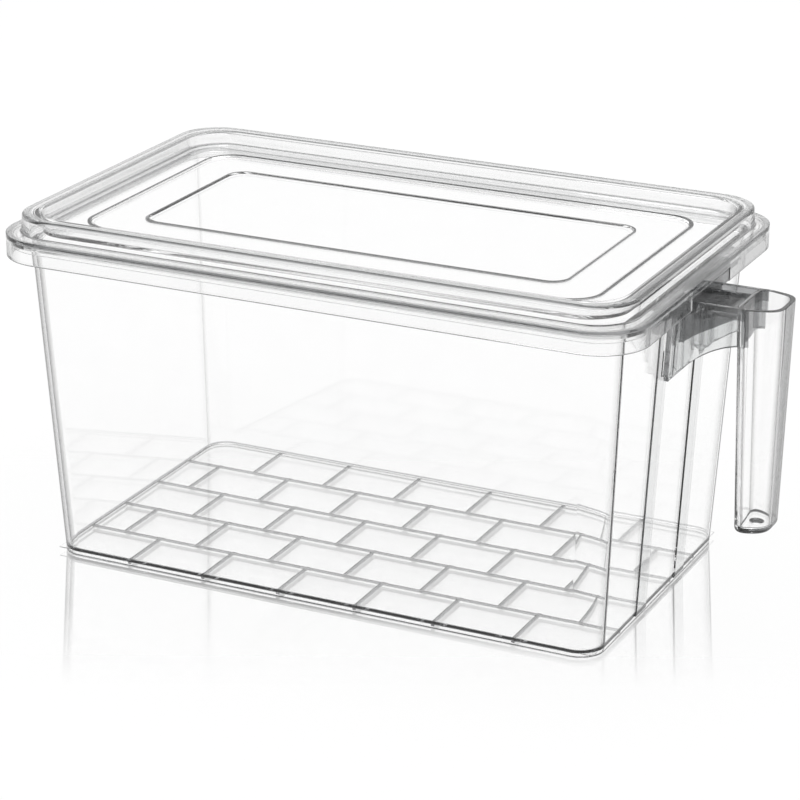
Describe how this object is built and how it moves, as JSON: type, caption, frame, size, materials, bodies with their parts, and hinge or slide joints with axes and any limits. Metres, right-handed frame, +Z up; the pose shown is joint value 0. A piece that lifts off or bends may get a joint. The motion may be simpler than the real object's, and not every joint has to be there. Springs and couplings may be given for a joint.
{
  "type": "plastic storage box",
  "caption": "Clear rectangular food storage box with a tapered tub, a recessed lift-off lid and a hollow upright grip on an arm that slides onto one end.",
  "frame": {"origin": "under the middle of the whole object's bounding box, at the level the foot stands on", "axes": "+X along the box towards the handle, +Y across the box, +Z up"},
  "size_m": [0.3346, 0.1856, 0.16],
  "materials": {
    "tub_plastic": "clear moulded plastic, polished",
    "lid_plastic": "clear moulded plastic, polished",
    "handle_plastic": "clear moulded plastic, slightly greyer where it is thick"
  },
  "bodies": {
    "tub_body": {"tub": "tub_plastic"},
    "lid_body": {"lid": "lid_plastic"},
    "handle_body": {"handle": "handle_plastic"}
  },
  "joints": [
    {"name": "lid_lift", "type": "slide", "parent": "tub_body", "child": "lid_body", "axis": [0, 0, 1], "range_m": [0, 0.06]},
    {"name": "handle_slide", "type": "slide", "parent": "tub_body", "child": "handle_body", "axis": [-0.0511, 0, -0.9987], "range_m": [0, 0.037]}
  ]
}
